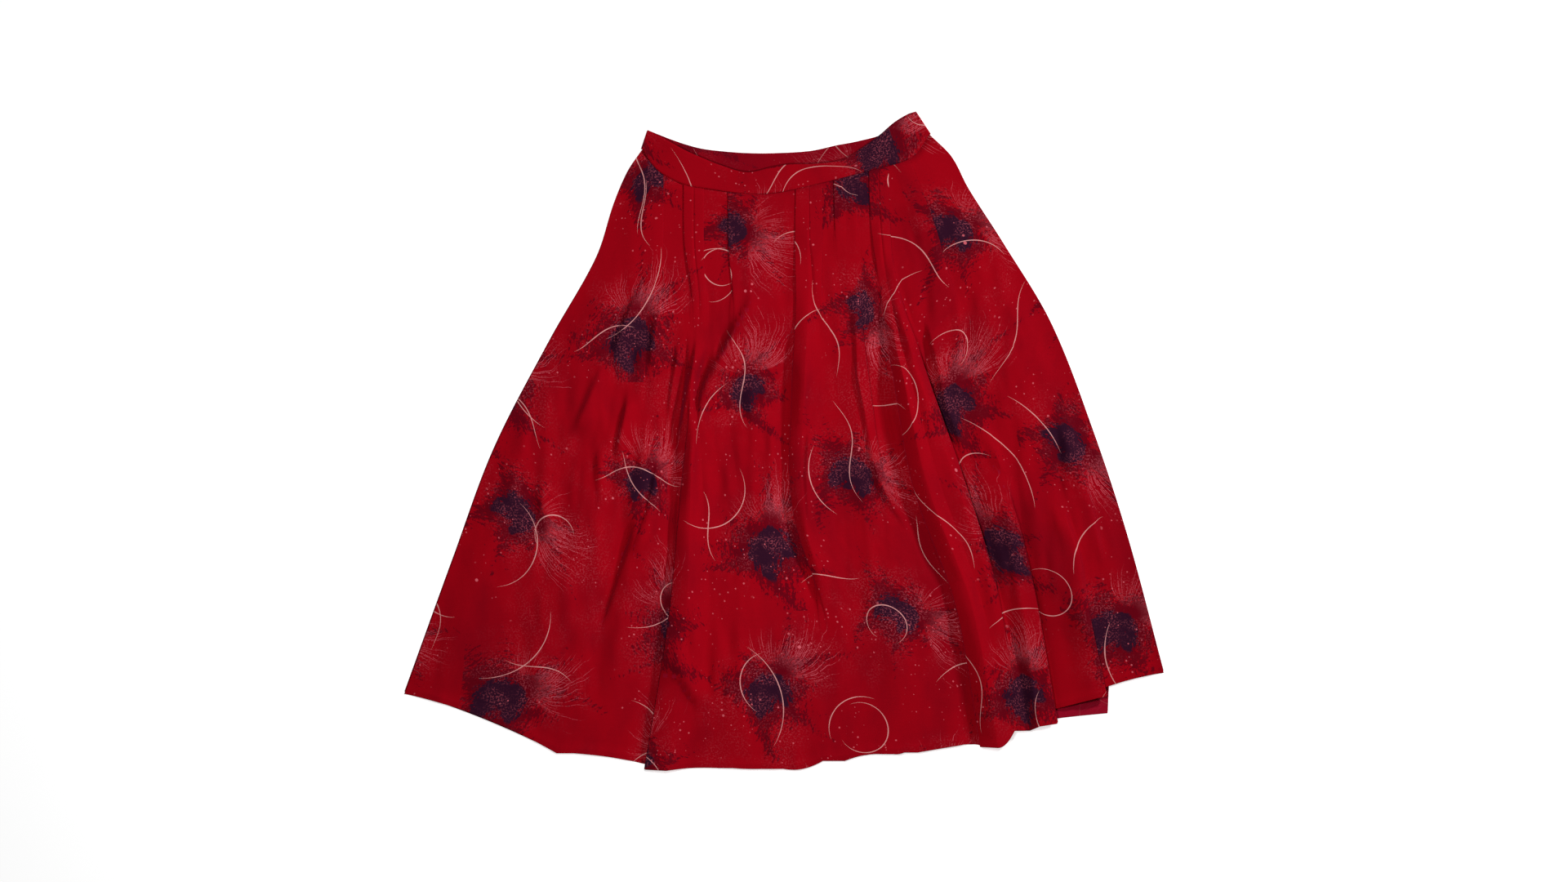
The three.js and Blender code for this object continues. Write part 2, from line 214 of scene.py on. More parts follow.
def panelRows(panel, t):
    # Across each row: stretches of plain cloth between the pleats, and each pleat's own columns. For each
    # point: its place across, its layer, the hem's height below it, and the places between which the
    # relief is read, which span a whole pleat where it is closed.
    cut = skirtCut
    t = t[:, None]
    left, right = sideEdges(t)
    edges = [smoothly(cut["levels"], pleat["edge"], t) for pleat in panel["pleats"].values()]
    edges = [left, *edges, right]
    pleats = []
    for k, pleat in enumerate(panel["pleats"].values()):
        room = np.minimum(edges[k + 1] - edges[k], edges[k + 2] - edges[k + 1])
        pleats.append(pleatColumns(pleat, t, edges[k + 1], room))
    stretches = []
    last = len(pleats)
    for k, heights in enumerate(panel["hem"]):
        beforeX, beforeLayer = (left, 0 * left) if k == 0 else (a[:, -1:] for a in pleats[k - 1][:2])
        afterX, afterLayer = (right, 0 * right) if k == last else (a[:, :1] for a in pleats[k][:2])
        width = afterX - beforeX
        columns = panel["columns"][k]
        share = np.arange(0 if k == 0 else 1, columns + (2 if k == last else 1))[None, :] / (columns + 1)
        plain = beforeX + share * width
        fromLeft = settled(beforeLayer, share * width, width)
        fromRight = settled(afterLayer, (1 - share) * width, width)
        stretches.append((plain, np.maximum(fromLeft, fromRight), parabola(heights, share), plain, plain))
        if k < last:
            x, layer, closed = pleats[k]
            hem = mix(heights[2], panel["hem"][k + 1][0], np.linspace(0, 1, x.shape[1])[None, :])
            spanFrom, spanTo = (mix(x, end(1, keepdims=True), closed) for end in (x.min, x.max))
            stretches.append((x, layer, hem, spanFrom, spanTo))
    return [np.hstack(part) for part in zip(*(np.broadcast_arrays(*stretch) for stretch in stretches))]


def seamLine(seam, x):
    # The waist seam, moved off the band by the gap, measured square to the seam
    step = 3
    slope = (edgeHeight(seam, x + step) - edgeHeight(seam, x - step)) / (2 * step)
    return edgeHeight(seam, x) - skirtCut["seamGap"] * np.hypot(1, slope)


def panelPoints(panel, t, relief=None):
    # Down each column from the seam to the hem; the height is the panel's own, its relief and its layers
    cut = skirtCut
    x, layer, hem, spanFrom, spanTo = panelRows(panel, t)
    rows = t[:, None]
    y = mix(seamLine(panel["seam"], x[:1]), hem, rows)
    z = panel["height"] + layer * mix(cut["pressedPitch"], cut["loosePitch"], ease(rows / cut["loosened"]))
    if relief:
        share = (x - spanFrom) / np.maximum(spanTo - spanFrom, 1e-6)
        z = z + mix(relief(spanFrom, y, rows), relief(spanTo, y, rows), share)
    return np.stack([x, y, z], axis=2)


def clothShell(name, grid, uv, thickness, closesRound=False):
    # Two faces of one cloth, half its thickness to each side of the grid, joined by a rim.
    # uv has one more column than a grid that closes round, so the pattern has its seam there.
    rows, columns = grid.shape[:2]
    if closesRound:
        around = np.concatenate([grid[:, -1:], grid, grid[:, :1]], axis=1)
    else:
        before, after = 2 * grid[:, :1] - grid[:, 1:2], 2 * grid[:, -1:] - grid[:, -2:-1]
        around = np.concatenate([before, grid, after], axis=1)
    across = around[:, 2:] - around[:, :-2]
    down = np.gradient(grid, axis=0)
    outward = np.cross(down, across)
    outward /= np.maximum(np.linalg.norm(outward, axis=2, keepdims=True), 1e-9)
    half = np.broadcast_to(thickness, (rows, columns))[:, :, None] / 2
    points = np.concatenate([grid + outward * half, grid - outward * half]).reshape(-1, 3) * mm
    steps = columns if closesRound else columns - 1
    r, c = np.meshgrid(np.arange(rows - 1), np.arange(steps), indexing="ij")
    r, c = r.ravel(), c.ravel()
    back = rows * columns

    def corner(row, column):
        return row * columns + column % columns

    outer = [(r, c), (r + 1, c), (r + 1, c + 1), (r, c + 1)]
    inner = outer[::-1]
    faces = [np.stack([corner(*place) for place in outer], axis=1),
             np.stack([corner(*place) + back for place in inner], axis=1)]
    patterns = [np.stack([uv[place] for place in corners], axis=1) for corners in (outer, inner)]
    slots = [0, 1]

    def rim(rowA, columnA, rowB, columnB):
        a, b = corner(rowA, columnA), corner(rowB, columnB)
        faces.append(np.stack([a, b, b + back, a + back], axis=1))
        patternA, patternB = uv[rowA, columnA], uv[rowB, columnB]
        patterns.append(np.stack([patternA, patternB, patternB, patternA], axis=1))
        slots.append(0)

    k = np.arange(steps)
    rim(0 * k, k, 0 * k, k + 1)
    rim(0 * k + rows - 1, k + 1, 0 * k + rows - 1, k)
    if not closesRound:
        k = np.arange(rows - 1)
        rim(k + 1, 0 * k, k, 0 * k)
        rim(k, 0 * k + columns - 1, k + 1, 0 * k + columns - 1)
    slot = np.concatenate([np.full(len(part), number) for part, number in zip(faces, slots)])
    mesh = bpy.data.meshes.new(name)
    mesh.from_pydata(points.tolist(), [], np.concatenate(faces).tolist())
    mesh.uv_layers.new(name="cloth").data.foreach_set("uv", (np.concatenate(patterns) * mm).ravel())
    mesh.polygons.foreach_set("material_index", slot.astype(np.int32))
    mesh.shade_smooth()
    return addObject(name, mesh)


def lengthAlong(grid):
    # From the first column of each row, the sum of the steps from point to point
    steps = np.linalg.norm(np.diff(grid, axis=1), axis=2)
    return np.concatenate([np.zeros((len(grid), 1)), np.cumsum(steps, axis=1)], axis=1)


def clothPattern(grid):
    # How far along the cloth a point lies from the column nearest the middle of the waist, evened out down
    # the cloth by a bell of weights, and its height on the skirt
    bell = 80
    middle = int(np.argmin(np.abs(grid[0, :, 0])))
    along = lengthAlong(grid[:, :, [0, 2]])
    along = along - along[:, middle:middle + 1]
    level = grid[:, middle, 1]
    weights = np.exp(-0.5 * ((level[:, None] - level[None, :]) / bell) ** 2)
    along = weights @ along / weights.sum(1, keepdims=True)
    return np.stack([along, grid[:, :, 1]], axis=2)


def hemLevels(rows):
    # Even steps down to the turned hem, then close ones across it
    turned = skirtCut["hemWidth"] / skirtCut["length"]
    return np.concatenate([np.linspace(0, 1 - turned, rows), 1 - turned * np.array(skirtCut["hemRows"])])


def hemThickness(grid):
    # One cloth, and nearly two where the hem is turned up
    fromHem = grid[:, :, 1] - grid[-1:, :, 1]
    turned = ease((skirtCut["hemWidth"] - fromHem) / skirtCut["hemStep"])
    return mix(skirtCut["wall"], skirtCut["hemThickness"], turned)


frontPanel = {
    "rows": 77,
    "seam": {
        "across": [-182, -170, -157, -128, -94, -44, -8, 40, 110, 154, 171, 187],
        "height": [375, 356, 343, 329, 323, 317, 319, 329, 347, 359, 370, 394],
    },
    # over: which side lies on top. edge: the fold's place at each level. depth: how far its cloth is
    # hidden. roll: how high the cloth swells behind the edge, and crest: how far behind it. dive: how far
    # the lower cloth sinks before the edge
    "pleats": {
        "left outer": {"over": "left",
         "edge": [-155, -155, -155, -161, -174, -229, -281], "depth": [11, 8, 0, 0, 0, 0, 0]},
        "left long": {"over": "right", "roll": 8, "crest": 6, "dive": 3,
         "edge": [-129, -128, -119, -121, -134, -149, -179], "depth": [9, 8, 0, 0, 12, 20, 26]},
        "left inner": {"over": "left",
         "edge": [-103, -103, -99, -102, -92, -83, -75], "depth": [9, 8, 0, 0, 0, 0, 0]},
        "left of middle": {"over": "right",
         "edge": [-72, -71, -67, -71, -50, -31, -15], "depth": [14, 9, 0, 0, 0, 0, 0]},
        "middle": {"over": "right", "roll": 7, "crest": 6, "dive": 3,
         "edge": [15, 14, 15, 10, 10, 49, 64], "depth": [14, 14, 14, 14, 12, 0, 0]},
        "right of middle": {"over": "left",
         "edge": [49, 49, 50, 61, 85, 108, 132], "depth": [14, 12, 0, 0, 0, 0, 0]},
        "short tuck": {"over": "right",
         "edge": [64, 65, 72, 85, 106, 135, 163], "depth": [10, 0, 0, 0, 0, 0, 0]},
        "valley left": {"over": "left", "roll": 2, "crest": 16, "dive": 1.5,
         "edge": [95, 95, 98, 108, 134, 192, 236], "depth": [10, 0, 0, 12, 0, 0, 0]},
        "tube left": {"over": "right", "roll": 9, "crest": 8, "dive": 4,
         "edge": [109, 112, 121, 139, 166, 219, 252], "depth": [9, 8, 0, 10, 16, 18, 20]},
        "tube right": {"over": "left", "roll": 5.5, "crest": 8, "dive": 5,
         "edge": [134, 136, 145, 179, 230, 274, 306], "depth": [9, 8, 0, 10, 10, 6, 0]},
        "right outer": {"over": "left", "roll": 5.5, "crest": 8, "dive": 5,
         "edge": [161, 189, 212, 243, 283, 319, 351], "depth": [12, 12, 2, 0, 0, 14, 22]},
        "side tuck": {"over": "left",
         "edge": [172, 208, 244, 288, 340, 378, 414], "depth": [0, 0, 0, 0, 0, 0, 10]},
    },
    # Columns of plain cloth between the pleats, and the hem's height at each stretch's two ends and middle
    "columns": [110, 22, 22, 16, 26, 32, 10, 14, 16, 36, 32, 36, 34],
    "hem": [
        (-325, -354, -401), (-401, -406, -415), (-423, -420, -420), (-420, -421, -421), (-421, -421, -411),
        (-411, -404, -402), (-402, -402, -400), (-400, -395, -390), (-390, -390, -391), (-393, -388, -372),
        (-372, -369, -366), (-344, -337, -330), (-316, -305, -298),
    ],
    # Heights above the surface. Each start or end is a level, and over how much of the length it takes
    # effect.
    "height": 1.8,
    "overBackPleats": 3.4, "backPleatsEnd": (0.22, 0.2),
    "seamRise": 1.1, "seamRiseEnd": (0, 0.06),
    "fullness": 6.5, "fullnessStart": (0, 0.4),
    "slackened": 0.3, "slackStart": (0.7, 0.3),
    "rollStart": (0.05, 0.3),
    "creaseStart": (0, 0.15),
    "ceiling": 13.5, "aboveCeiling": 6,
    "sideWidth": 40,  # over which the front comes down to its sides
    "troughRound": 1.5,
    # The slow waves of loose cloth, the finer crumples, and where the crumples are
    "waves": [(2.4, 62, 210, 20, 20, 4), (1.3, 28, 90, 20, 20, 5)],
    "crumples": [(2.7, 14, 52, 30, 20, 6), (1.1, 8, 26, 61, 25, 8)],
    "crumpled": [(1, 95, 130, 20, 20, 9)], "crumpledShare": 0.55,
    # Soft ridges, and troughs where the height is less than nothing: the height, how wide it is to its
    # left and right, and (across, up) along it from the top down
    "creases": {
        "left sweep": (5.4, 34, 30, (-190, 60), (-262, -135), (-330, -330)),
        "left inner sweep": (8.5, 16, 22, (-170, 10), (-178, -60), (-196, -170), (-218, -300)),
        "middle sweep": (5.4, 34, 30, (-20, 60), (-38, -160), (-60, -380)),
        "right of middle sweep": (5.4, 26, 30, (90, 120), (112, -100), (150, -330)),
        "right sweep": (5.4, 28, 30, (270, 150), (318, 20), (352, -130), (392, -270)),
        "hip crease": (7.1, 4, 14, (-190, 182), (-203, 152), (-216, 122)),
        "belly fold": (10, 4, 18, (-42, 178), (-60, 148), (-78, 115), (-95, 82), (-108, 45)),
        "belly hollow": (-11, 12, 4, (-70, 142), (-86, 108), (-99, 74)),
        "beside the long fold": (10.9, 3.5, 14, (-112, 118), (-118, 85), (-124, 55), (-131, 15)),
        "between the two": (8.4, 4, 9, (-88, 112), (-97, 84), (-104, 50), (-108, 5)),
        "hollow between the two": (-7, 6, 3.5, (-99, 108), (-107, 78), (-113, 42)),
        "long fold's upper hollow": (-9, 7, 3.5, (-126, 118), (-131, 60), (-140, 5), (-146, -50)),
        "outside the long fold": (6.5, 4, 10, (-134, 116), (-141, 80), (-146, 40)),
        "left bend": (8.5, 6.5, 18, (-234, 86), (-247, 56), (-265, 16)),
        "left upper": (6, 4.5, 11, (-158, 172), (-165, 140), (-170, 100)),
        "left short": (8.3, 4, 12, (-200, 48), (-206, 20), (-213, -15)),
        "left near": (5.4, 4, 10, (-238, -15), (-236, -45), (-233, -75)),
        "left far": (6.1, 4, 12, (-313, -65), (-309, -95), (-305, -130)),
        "left lower": (10.9, 3.5, 13, (-163, -40), (-171, -85), (-188, -135)),
        "left hollow": (-10, 8, 5, (-197, -108), (-211, -150), (-222, -188), (-234, -226)),
        "long fold's hollow": (-8, 7, 4, (-140, -20), (-146, -150), (-160, -240), (-190, -415)),
        "low left": (6.5, 5, 12, (-138, -262), (-130, -300), (-110, -335)),
        "second middle": (8.3, 3.5, 9, (25, 96), (22, 62), (14, 22)),
        "beside the middle": (5.4, 4, 9, (33, 5), (30, -40), (33, -100)),
        "middle's hollow": (-7, 9, 4, (6, 120), (2, 30), (1, -60), (14, -120), (36, -185)),
        "valley floor": (-11, 12, 6,
         (128, 100), (127, 45), (138, -5), (153, -55), (173, -105), (205, -175)),
        "valley crease": (6.5, 5, 6, (117, -32), (131, -66), (151, -98)),
        "tube crease": (8.3, 9, 4, (147, 95), (157, 64), (168, 28), (175, -6)),
        "beside the tube": (8.3, 4, 11, (185, 148), (194, 112), (200, 82), (208, 45), (226, 0)),
        "right hip": (8.3, 12, 4, (149, 176), (160, 146), (177, 110)),
        "tube": (8.5, 17, 20, (165, 60), (214, -150), (262, -300), (279, -392)),
        "tube's hollow": (-11, 12, 5, (220, -240), (231, -300), (235, -335), (245, -392)),
        "outer hollow": (-11, 8, 8, (304, -158), (317, -205), (325, -255), (334, -320), (341, -370)),
        "right bend": (6.5, 10, 4, (262, 12), (269, -10), (279, -34)),
        "right line": (8.3, 15, 4, (360, -98), (374, -140), (381, -185), (391, -252)),
        "right upper line": (8.3, 15, 5, (370, 20), (380, -30), (392, -80), (405, -145)),
        "right soft": (-3.6, 6, 6, (352, 6), (352, -35), (357, -75)),
    },
}


def rollHeight(pleat, t, x):
    # Behind a fold's edge the cloth rises from nothing at the edge to a crest a little way in, then falls
    # off slowly: r times e to the power 1 less r, with r the share of the way to the crest. Before the
    # edge the lower cloth dives under the fold, half of it close by and half over a wider stretch.
    if "roll" not in pleat:
        return 0 * x
    cut = skirtCut
    direction = -1 if pleat["over"] == "left" else 1
    inward = (x - smoothly(cut["levels"], pleat["edge"], t)) * direction
    firm = limit(np.interp(t, cut["levels"], pleat["depth"]) / cut["firmDepth"])
    crest = np.maximum(inward, 0) / pleat["crest"]
    close, wide = (0.5 * np.exp(-np.abs(inward) / reach) for reach in cut["diveReach"])
    before = np.where(inward > 0.01, 0, close + wide)
    return firm * (pleat["roll"] * crest * np.exp(1 - crest) - pleat["dive"] * before)


def creaseHeight(crease, x, y):
    # A soft ridge or trough along a curve through its points, from the top down: a bell across it, with a
    # width of its own on each side, faded out towards both ends
    height, leftWidth, rightWidth, *points = crease
    values, ups = zip(*points)
    places = [-up for up in ups]
    step = 4
    line = smoothly(places, values, -y)
    lean = (smoothly(places, values, -y + step) - line) / step
    away = (x - line) / np.hypot(1, lean)
    width = np.where(away < 0, leftWidth, rightWidth)
    fade = 0.3 * (places[-1] - places[0])
    fromEnds = ease((-y - places[0]) / fade + 0.5) * ease((places[-1] + y) / fade + 0.5)
    return height * np.exp(-((away / width) ** 2)) * fromEnds


def frontRelief(x, y, t):
    # Nothing at the side edges; inside them the front lies over the back's pleats, swells, and has its
    # creases. The square root keeps the deepest troughs just clear of the back, and a hyperbolic tangent
    # flattens the highest crests.
    panel = frontPanel
    left, right = sideEdges(t)
    inside = ease(np.minimum(x - left, right - x) / panel["sideWidth"])
    rise = panel["overBackPleats"] * (1 - ease(t, *panel["backPleatsEnd"]))
    rise = rise + panel["seamRise"] * (1 - ease(t, *panel["seamRiseEnd"]))
    slack = 1 - panel["slackened"] * ease(t, *panel["slackStart"])
    rise = rise + panel["fullness"] * ease(t, *panel["fullnessStart"]) * slack
    rolls = sum(rollHeight(pleat, t, x) for pleat in panel["pleats"].values())
    rise = rise + rolls * ease(t, *panel["rollStart"])
    creases = sum(creaseHeight(crease, x, y) for crease in panel["creases"].values())
    uneven = noiseSum(panel["waves"], x, y)
    crumpled = ease(noiseSum(panel["crumpled"], x, y) + panel["crumpledShare"])
    uneven = uneven + crumpled * noiseSum(panel["crumples"], x, y)
    rise = rise + (creases + uneven) * ease(t, *panel["creaseStart"])
    over = np.maximum(rise - panel["ceiling"], 0)
    rise = rise - over + panel["aboveCeiling"] * np.tanh(over / panel["aboveCeiling"])
    return inside * 0.5 * (rise + np.sqrt(rise**2 + panel["troughRound"]))


def makeFront():
    grid = panelPoints(frontPanel, hemLevels(frontPanel["rows"]), frontRelief)
    return clothShell("front_cloth", grid, clothPattern(grid), hemThickness(grid))


front = makeFront()
print("front panel made:", len(front.data.polygons), "faces")

# The last of the back's pleats is never closed: there its hem steps up to the side.
backPanel = {
    "height": 0.5,
    "rows": 90,
    "thickestHem": 0.9,
    "seam": {
        "across": [-182, -150, -110, -60, 0, 60, 110, 150, 187],
        "height": [375, 356, 344, 338, 337, 342, 352, 366, 394],
    },
    "pleats": {
        "back left outer": {"over": "right",
         "edge": [-128, -136, -150, -176, -222, -266, -310], "depth": [11, 8, 0, 0, 0, 0, 0]},
        "back left inner": {"over": "right",
         "edge": [-78, -84, -94, -110, -140, -168, -196], "depth": [11, 8, 0, 0, 0, 0, 0]},
        "back left of middle": {"over": "right",
         "edge": [-28, -30, -34, -40, -52, -64, -74], "depth": [11, 8, 0, 0, 0, 0, 0]},
        "back right of middle": {"over": "left",
         "edge": [28, 31, 36, 44, 58, 70, 80], "depth": [11, 8, 0, 0, 0, 0, 0]},
        "back right inner": {"over": "left",
         "edge": [78, 86, 100, 122, 152, 182, 208], "depth": [11, 8, 0, 0, 0, 0, 0]},
        "back right outer": {"over": "left",
         "edge": [128, 142, 166, 198, 244, 284, 322], "depth": [11, 8, 0, 0, 0, 0, 0]},
        "back side tuck": {"over": "left",
         "edge": [172, 208, 244, 288, 342, 381, 417], "depth": [0, 0, 0, 0, 0, 0, 0]},
    },
    "columns": [18, 14, 14, 14, 14, 14, 14, 10],
    "hem": [
        (-322, -350, -386), (-386, -395, -402), (-402, -406, -408), (-408, -409, -406),
        (-406, -398, -390), (-390, -376, -359), (-359, -354, -350), (-310, -300, -295),
    ],
}


def makeBack():
    # Flat on the surface. Its columns run the other way, so its right side faces what it lies on
    grid = panelPoints(backPanel, hemLevels(backPanel["rows"]))[:, ::-1]
    thickness = np.minimum(hemThickness(grid), backPanel["thickestHem"])
    return clothShell("back_cloth", grid, clothPattern(grid) * [1, -1], thickness)


back = makeBack()
print("back panel made:", len(back.data.polygons), "faces")

waistband = {
    "thickness": 1.7,
    "edgeReach": 0.86,  # how near its thickness comes to nothing at both edges
    "edgePower": 16,
    "patternDepth": 40,
    "rows": 15,
    "runColumns": 160,
    "turnColumns": 9,
    "backHeight": 0.9,
    "frontHeight": 3.1,
    "overBackPleats": 3.4,
    "liftShare": 0.15,  # of the way across, over which it rises from each end
    "frontTop": {
        "across": [-174, -151, -128, -106, -84, -48, -17, 6, 40, 74, 101, 124, 141, 159, 168],
        "height": [399, 387, 374, 364, 355, 345, 351, 355, 356, 361, 377, 394, 409, 420, 423],
    },
    "backTop": {
        "across": [-174, -138, -107, -75, -44, -12, 35, 67, 98, 130, 168],
        "height": [399, 385, 376, 372, 370, 370, 373, 380, 386, 396, 423],
    },
}


def bandRun(top, seam, share, drop, height):
    # From the top edge down to the seam, at an even share of the way across both
    topX, seamX = (mix(edge["across"][0], edge["across"][-1], share) for edge in (top, seam))
    y = mix(edgeHeight(top, topX), edgeHeight(seam, seamX), drop)
    return np.stack([mix(topX, seamX, drop), y, np.broadcast_to(height, y.shape)], axis=2)


def bandTurn(start, direction, radius, columns):
    # Half a round, from the back run up to the front one
    angle = np.pi * np.arange(1, columns + 1)[None, :, None] / (columns + 1)
    reach = np.concatenate([direction * np.sin(angle), 0 * angle, 1 - np.cos(angle)], axis=2)
    return start + radius * reach


def makeWaistband():
    # A flattened ring: the back run, the right turn, the front run and the left turn, taken the other way
    # round so that its outer side faces out. Its thickness is even, and rounds off close to both edges:
    # the root of one less a high power.
    values = waistband
    drop = np.linspace(0, 1, values["rows"])[:, None]
    share = np.linspace(0, 1, values["runColumns"])[None, :]
    frontHeight = values["frontHeight"] + values["overBackPleats"] * ease(
        np.minimum(share, 1 - share) / values["liftShare"])
    backRun = bandRun(values["backTop"], backPanel["seam"], share, drop, values["backHeight"])
    frontRun = bandRun(values["frontTop"], frontPanel["seam"], share, drop, frontHeight)
    radius = (values["frontHeight"] - values["backHeight"]) / 2
    rightTurn = bandTurn(backRun[:, -1:], 1, radius, values["turnColumns"])
    leftTurn = bandTurn(backRun[:, :1], -1, radius, values["turnColumns"])
    grid = np.concatenate([backRun, rightTurn, frontRun[:, ::-1], leftTurn[:, ::-1]], axis=1)[:, ::-1]
    along = lengthAlong(np.concatenate([grid[:1], grid[:1, :1]], axis=1))
    uv = np.stack(np.broadcast_arrays(along, -values["patternDepth"] * drop), axis=2)
    edge = values["edgeReach"] * np.linspace(-1, 1, values["rows"])[:, None]
    thickness = values["thickness"] * np.sqrt(1 - edge ** values["edgePower"])
    return clothShell("waistband_cloth", grid, uv, thickness, closesRound=True)


band = makeWaistband()
print("waistband made:", len(band.data.polygons), "faces")


class Wire:
    # A number on its way through a shader. Arithmetic on wires places Math nodes.
    def __init__(self, tree, socket):
        self.tree = tree
        self.socket = socket

    def through(self, operation, *others):
        node = self.tree.nodes.new("ShaderNodeMath")
        node.operation = operation
        for value, socket in zip((self, *others), node.inputs):
            feed(self.tree, value, socket)
        return Wire(self.tree, node.outputs[0])

    def __add__(self, other):
        return self.through("ADD", other)

    def __sub__(self, other):
        return self.through("SUBTRACT", other)

    def __rsub__(self, other):
        return self.through("MULTIPLY_ADD", -1.0, other)

    def __mul__(self, other):
        return self.through("MULTIPLY", other)

    def __truediv__(self, other):
        return self.through("DIVIDE", other)

    def __abs__(self):
        return self.through("ABSOLUTE")

    __radd__ = __add__
    __rmul__ = __mul__

    def step(self, low, high):
        # Eased from 0 at low to 1 at high; low may be the greater
        node = self.tree.nodes.new("ShaderNodeMapRange")
        node.interpolation_type = "SMOOTHSTEP"
        feedAll(self.tree, node, {"Value": self, "From Min": low, "From Max": high})
        return Wire(self.tree, node.outputs["Result"])


def feed(tree, value, socket):
    if isinstance(value, Wire):
        value = value.socket
    if isinstance(value, bpy.types.NodeSocket):
        tree.links.new(value, socket)
    else:
        socket.default_value = value


def feedAll(tree, node, values):
    # Each value goes to the input of its name
    for name, value in values.items():
        feed(tree, value, node.inputs[name])


def newGroup(name, inputs, outputs):
    # Each socket's name and usual value. Three numbers make a vector, and four a colour
    kinds = {1: "NodeSocketFloat", 3: "NodeSocketVector", 4: "NodeSocketColor"}
    tree = bpy.data.node_groups.new(name, "ShaderNodeTree")
    for side, sockets in (("INPUT", inputs), ("OUTPUT", outputs)):
        for socketName, usual in sockets.items():
            kind = kinds[np.size(usual)]
            tree.interface.new_socket(name=socketName, in_out=side, socket_type=kind).default_value = usual
    entry = tree.nodes.new("NodeGroupInput")
    leave = tree.nodes.new("NodeGroupOutput")
    return tree, {socket.name: Wire(tree, socket) for socket in entry.outputs if socket.name}, leave


def placeGroup(tree, group, **values):
    # Sockets are given by their names
    node = tree.nodes.new("ShaderNodeGroup")
    node.node_tree = group
    feedAll(tree, node, values)
    return {socket.name: Wire(tree, socket) for socket in node.outputs}


def vector(tree, x, y, z=0.0):
    node = tree.nodes.new("ShaderNodeCombineXYZ")
    for value, socket in zip((x, y, z), node.inputs):
        feed(tree, value, socket)
    return Wire(tree, node.outputs[0])


def parts(tree, value):
    node = tree.nodes.new("ShaderNodeSeparateXYZ")
    feed(tree, value, node.inputs[0])
    return [Wire(tree, socket) for socket in node.outputs]


def cloud(tree, place, scale=1.0, detail=2.0, rough=0.5):
    node = tree.nodes.new("ShaderNodeTexNoise")
    node.noise_dimensions = "3D"
    feedAll(tree, node, {"Vector": place, "Scale": scale, "Detail": detail, "Roughness": rough})
    return Wire(tree, node.outputs["Factor" if "Factor" in node.outputs else "Fac"])


def chances(tree, place):
    # Three random numbers for a place
    node = tree.nodes.new("ShaderNodeTexWhiteNoise")
    node.noise_dimensions = "3D"
    feed(tree, place, node.inputs["Vector"])
    return parts(tree, Wire(tree, node.outputs["Color"]))


def blend(tree, share, a, b, way="MIX"):
    node = tree.nodes.new("ShaderNodeMix")
    node.data_type = "RGBA"
    node.blend_type = way
    for value, socket in ((share, node.inputs[0]), (a, node.inputs[6]), (b, node.inputs[7])):
        feed(tree, value, socket)
    return Wire(tree, node.outputs[2])


def highest(first, *others):
    for other in others:
        first = first.through("MAXIMUM", other)
    return first


def distance(x, y):
    return (x * x + y * y).through("SQRT")


def turned(x, y, angle):
    # The same place on axes turned by the angle
    sine, cosine = angle.through("SINE"), angle.through("COSINE")
    return x * cosine + y * sine, y * cosine - x * sine


def dye(red, green, blue):
    # From a colour as it is seen, 0 to 255, to the light that it gives back
    seen = np.array([red, green, blue]) / 255
    light = np.where(seen <= 0.04045, seen / 12.92, ((seen + 0.055) / 1.055) ** 2.4)
    return (*light.tolist(), 1.0)


# The print is a general design: brushed leaves, sprays of grass, loose curls, dots and fine speckle.
# Its lengths are in metres, its angles in radians.


def makeScatter():
    # Cuts the cloth into cells, every other column dropped by half a cell, and gives each one a place of
    # its own: X and Y from the motif's root, turned by a random angle, and two random numbers
    tree, get, leave = newGroup(
        "scatterMotifs",
        {"Place": (0, 0, 0), "Wide": 0.17, "High": 0.17, "Seed": 1.0, "Shift": 0.03, "Turn": 0.0,
         "Range": 1.0},
        {"X": 0.0, "Y": 0.0, "First": 0.0, "Second": 0.0})
    u, v, _ = parts(tree, get["Place"])
    column = u / get["Wide"]
    columnNumber = column.through("FLOOR")
    row = v / get["High"] + (columnNumber * 0.5).through("FRACT")
    rowNumber = row.through("FLOOR")
    asideX, second, _ = chances(tree, vector(tree, columnNumber, rowNumber, get["Seed"]))
    asideY, turn, first = chances(tree, vector(tree, columnNumber, rowNumber, get["Seed"] + 31.7))
    x = (column.through("FRACT") - 0.5) * get["Wide"] - (asideX - 0.5) * get["Shift"]
    y = (row.through("FRACT") - 0.5) * get["High"] - (asideY - 0.5) * get["Shift"]
    x, y = turned(x, y, get["Turn"] + (turn - 0.5) * get["Range"])
    feedAll(tree, leave, {"X": x, "Y": y, "First": first, "Second": second})
    return tree


